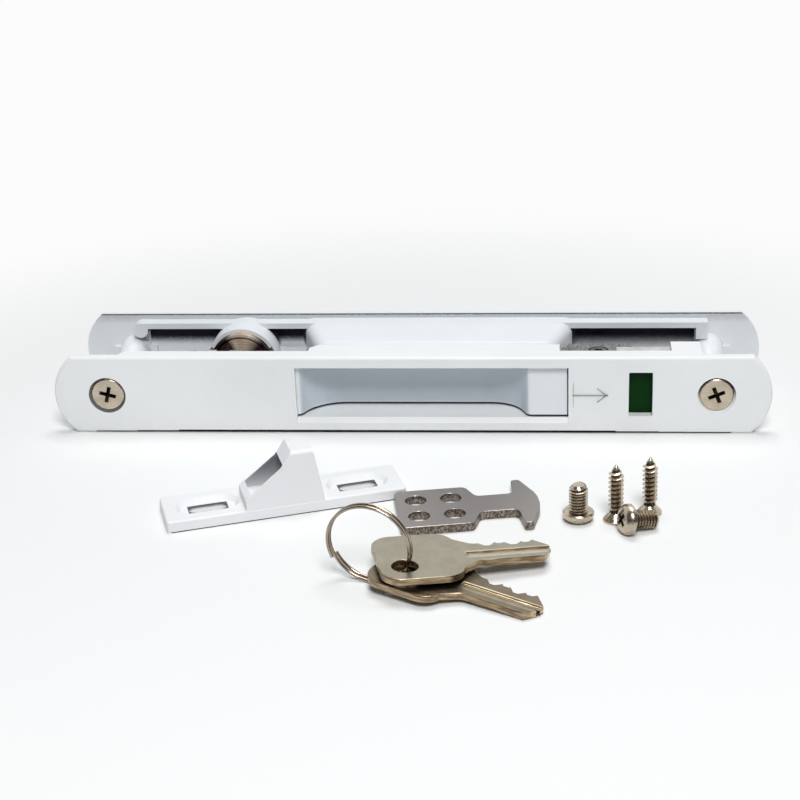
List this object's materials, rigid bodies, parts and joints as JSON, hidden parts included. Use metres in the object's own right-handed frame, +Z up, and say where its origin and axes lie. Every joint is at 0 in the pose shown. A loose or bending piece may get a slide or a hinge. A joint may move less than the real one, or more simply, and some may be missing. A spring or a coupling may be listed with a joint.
{
  "type": "sliding door lock",
  "caption": "Sliding door lock set: two white plates with a sliding finger pull, indicator window and key cylinder, a hook plate, a strike, screws and keys on a split ring.",
  "frame": {"origin": "centre of the whole set in plan, on the surface that it stands on", "axes": "+X along the plates, +Y from the front plate to the back plate, +Z up"},
  "size_m": [0.202, 0.1446, 0.0231],
  "materials": {
    "back_plate": "satin white paint on a zinc casting",
    "bar_rivets": "plain steel",
    "cam": "zinc-plated steel",
    "cam_screw": "plain steel",
    "carriage": "bare rough zinc casting",
    "carriage_pin": "plain steel",
    "cylinder_body": "nickel-plated brass",
    "cylinder_clip": "spring steel",
    "cylinder_plug": "nickel-plated brass",
    "detent_ball": "polished ball",
    "detent_plug": "plain steel",
    "detent_spring": "spring wire",
    "drive_bar": "zinc-plated sheet steel",
    "front_plate": "satin white paint on a zinc casting",
    "green_flag": "green film",
    "guide_tongue": "bright drawn steel",
    "hook_plate": "zinc-plated sheet steel",
    "hook_screws": "bright nickel plate",
    "indicator_strip": "plain steel strip",
    "key_lower": "satin nickel plate",
    "key_upper": "satin nickel plate",
    "left_retainer": "zinc-plated sheet steel",
    "red_flag": "red film",
    "retainer_screws": "plain steel",
    "slide_handle": "satin white paint on zinc",
    "split_ring": "nickel-plated wire",
    "strike": "satin white paint on a zinc casting",
    "strike_screws": "bright nickel plate",
    "strip_rivets": "plain steel",
    "through_screws": "bright nickel plate",
    "tumblers": "stamped brass"
  },
  "bodies": {
    "case": {"back_plate": "back_plate", "cylinder_body": "cylinder_body", "cylinder_clip": "cylinder_clip", "front_plate": "front_plate", "hook_plate": "hook_plate", "hook_screws": "hook_screws", "left_retainer": "left_retainer", "retainer_screws": "retainer_screws", "split_ring": "split_ring", "strike": "strike", "strike_screws": "strike_screws", "through_screws": "through_screws"},
    "slide": {"slide_handle": "slide_handle", "indicator_strip": "indicator_strip", "green_flag": "green_flag", "red_flag": "red_flag", "strip_rivets": "strip_rivets", "drive_bar": "drive_bar", "bar_rivets": "bar_rivets", "carriage": "carriage", "carriage_pin": "carriage_pin", "guide_tongue": "guide_tongue", "detent_plug": "detent_plug", "detent_spring": "detent_spring", "detent_ball": "detent_ball"},
    "plug": {"cylinder_plug": "cylinder_plug", "tumblers": "tumblers", "cam": "cam", "cam_screw": "cam_screw"},
    "lower_key": {"key_lower": "key_lower"},
    "upper_key": {"key_upper": "key_upper"}
  },
  "joints": [
    {"name": "handle_slide", "type": "slide", "parent": "case", "child": "slide", "axis": [1, 0, 0], "range_m": [0, 0.0085]},
    {"name": "plug_turn", "type": "hinge", "parent": "case", "child": "plug", "pos_m": [-0.0514, 0.05619, 0.0114], "axis": [0, 1, 0], "range_deg": [0, 90.21]},
    {"name": "lower_key_swing", "type": "hinge", "parent": "case", "child": "lower_key", "pos_m": [0.00486, -0.05698, 0], "axis": [0, 0, 1], "range_deg": [-6, 6]},
    {"name": "upper_key_swing", "type": "hinge", "parent": "case", "child": "upper_key", "pos_m": [0.00713, -0.05896, 0], "axis": [0, 0, 1], "range_deg": [-6, 6]}
  ],
  "couplings": [
    {"joint": "plug_turn", "follows": "handle_slide", "rad_per_m": 185.21}
  ]
}
